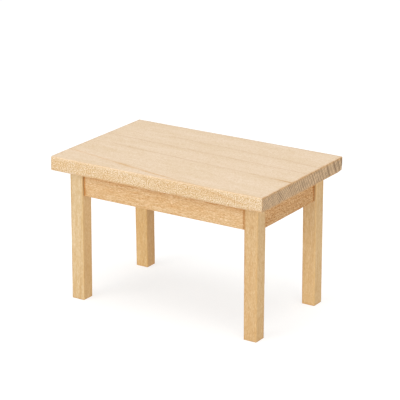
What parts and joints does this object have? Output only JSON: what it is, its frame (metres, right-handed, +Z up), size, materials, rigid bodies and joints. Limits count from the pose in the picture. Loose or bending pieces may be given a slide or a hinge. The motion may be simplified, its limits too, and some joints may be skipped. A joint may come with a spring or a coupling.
{
  "type": "miniature dining table",
  "caption": "Small rectangular wooden table with a thick plain top, square legs at the corners and aprons between the legs under the top.",
  "frame": {"origin": "on the floor under the middle of the table, at the middle of the object's box", "axes": "+X along the table's length, towards the end named right; +Y across it, from the side named front to the side named back; +Z up"},
  "size_m": [0.1, 0.0636, 0.0623],
  "materials": {
    "tabletop_wood": "bare sanded pale wood, cream faces with faint brown ring lines, darker end grain",
    "leg_wood": "bare sanded pale wood, golden, grain upright",
    "apron_wood": "bare sanded pale wood, warm orange tint, short level flecks",
    "dowel_wood": "bare turned wood, hidden in the joints"
  },
  "bodies": {
    "root": {"tabletop": "tabletop_wood", "leg_front_left": "leg_wood", "leg_front_right": "leg_wood", "leg_back_left": "leg_wood", "leg_back_right": "leg_wood", "apron_front": "apron_wood", "apron_back": "apron_wood", "apron_left": "apron_wood", "apron_right": "apron_wood", "dowel_long_apron_front_left": "dowel_wood", "dowel_short_apron_front_left": "dowel_wood", "dowel_top_front_left": "dowel_wood", "dowel_long_apron_front_right": "dowel_wood", "dowel_short_apron_front_right": "dowel_wood", "dowel_top_front_right": "dowel_wood", "dowel_long_apron_back_left": "dowel_wood", "dowel_short_apron_back_left": "dowel_wood", "dowel_top_back_left": "dowel_wood", "dowel_long_apron_back_right": "dowel_wood", "dowel_short_apron_back_right": "dowel_wood", "dowel_top_back_right": "dowel_wood"}
  },
  "joints": []
}
